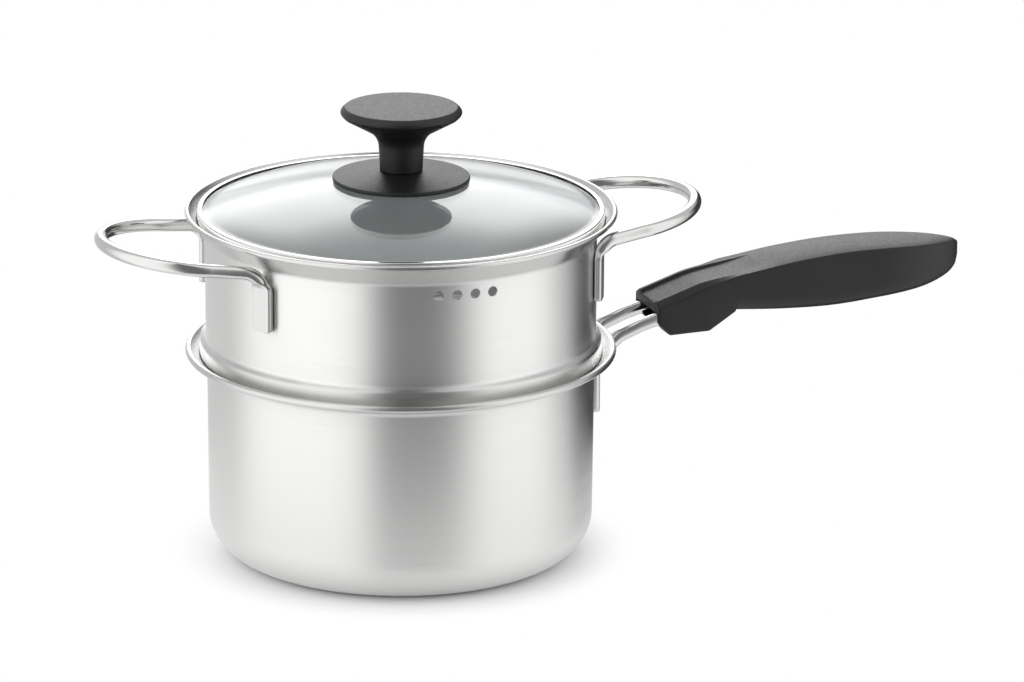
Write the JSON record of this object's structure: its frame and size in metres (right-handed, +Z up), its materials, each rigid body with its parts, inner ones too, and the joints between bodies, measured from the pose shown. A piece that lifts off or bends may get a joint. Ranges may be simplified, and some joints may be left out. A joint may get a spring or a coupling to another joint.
{
  "type": "two-tier steamer",
  "caption": "Steel saucepan with a moulded long handle, a perforated steamer tier with wire loop handles that stands in its rim, and a domed glass lid with a mushroom knob.",
  "frame": {"origin": "middle of the saucepan's underside, on its axis", "axes": "+Z up along the axis of the pan, the steamer tier and the lid, +X along the pan's long handle, steam holes facing -Y"},
  "size_m": [0.4104, 0.1928, 0.2053],
  "materials": {
    "satin_steel": "satin, brushed round the body",
    "polished_steel": "polished",
    "phenolic": "matt, finely grained",
    "glass": "clear tempered glass",
    "brass": "turned",
    "silicone": "matt"
  },
  "bodies": {
    "pan": {"pan_body": "satin_steel", "pan_handle_frame": "polished_steel", "handle_grip": "phenolic", "grip_tie_plate": "polished_steel", "grip_screw": "polished_steel"},
    "steamer": {"steamer_body": "satin_steel", "steamer_handle_right": "polished_steel", "steamer_handle_left": "polished_steel"},
    "lid": {"lid_rim": "polished_steel", "lid_glass": "glass", "knob_flange": "phenolic", "knob": "phenolic", "knob_insert": "brass", "flange_gasket": "silicone", "lower_gasket": "silicone", "knob_washer": "polished_steel", "knob_screw": "polished_steel"}
  },
  "joints": [
    {"name": "steamer_lift", "type": "slide", "parent": "pan", "child": "steamer", "axis": [0, 0, 1], "range_m": [0, 0.12]},
    {"name": "lid_lift", "type": "slide", "parent": "steamer", "child": "lid", "axis": [0, 0, 1], "range_m": [0, 0.09]}
  ]
}
